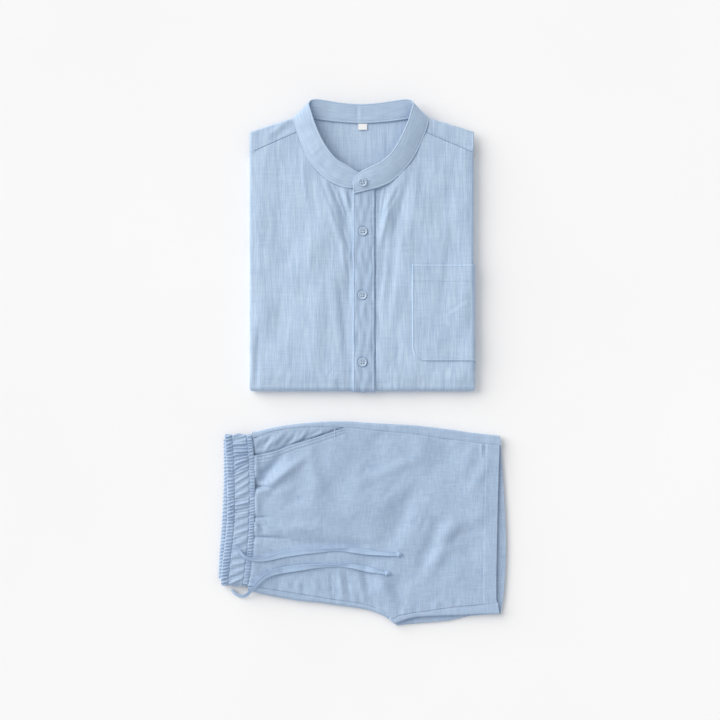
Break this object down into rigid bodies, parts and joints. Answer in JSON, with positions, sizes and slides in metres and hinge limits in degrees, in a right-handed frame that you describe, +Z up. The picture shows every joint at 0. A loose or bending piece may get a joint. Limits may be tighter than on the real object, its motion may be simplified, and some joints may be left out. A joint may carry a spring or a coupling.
{
  "type": "folded co-ord set",
  "caption": "Band-collar shirt with a chest pocket, folded to a flat pad, above drawstring shorts folded in half down the centre.",
  "frame": {"origin": "middle of the set's outline on the surface that both garments lie on", "axes": "+X across the shirt and along the shorts from waist to hem, +Y from the shorts up to the collar, +Z up from the surface"},
  "size_m": [0.4022, 0.7356, 0.027],
  "materials": {
    "shirt_cloth": "matt woven cotton and linen blend, light blue",
    "shorts_cloth": "matt woven cotton and linen blend, light blue",
    "tie_cloth": "matt woven cloth folded into a flat tape",
    "button_plastic": "light blue button resin, satin",
    "label_tape": "plain white woven tape"
  },
  "bodies": {
    "root": {"shirt_folded_layers": "shirt_cloth", "front_right_panel": "shirt_cloth", "front_left_panel": "shirt_cloth", "yoke": "shirt_cloth", "placket": "shirt_cloth", "chest_pocket": "shirt_cloth", "collar_band": "shirt_cloth", "collar_button": "button_plastic", "front_button_1": "button_plastic", "front_button_2": "button_plastic", "front_button_3": "button_plastic", "neck_label": "label_tape", "shorts_folded_layers": "shorts_cloth", "shorts_back_panel": "shorts_cloth", "shorts_front_panel": "shorts_cloth", "pocket_facing": "shorts_cloth", "shorts_other_front": "shorts_cloth", "waistband_back": "shorts_cloth", "waistband_front": "shorts_cloth", "drawstring_upper": "tie_cloth", "drawstring_upper_knot": "tie_cloth", "drawstring_lower": "tie_cloth", "drawstring_lower_knot": "tie_cloth"}
  },
  "joints": []
}
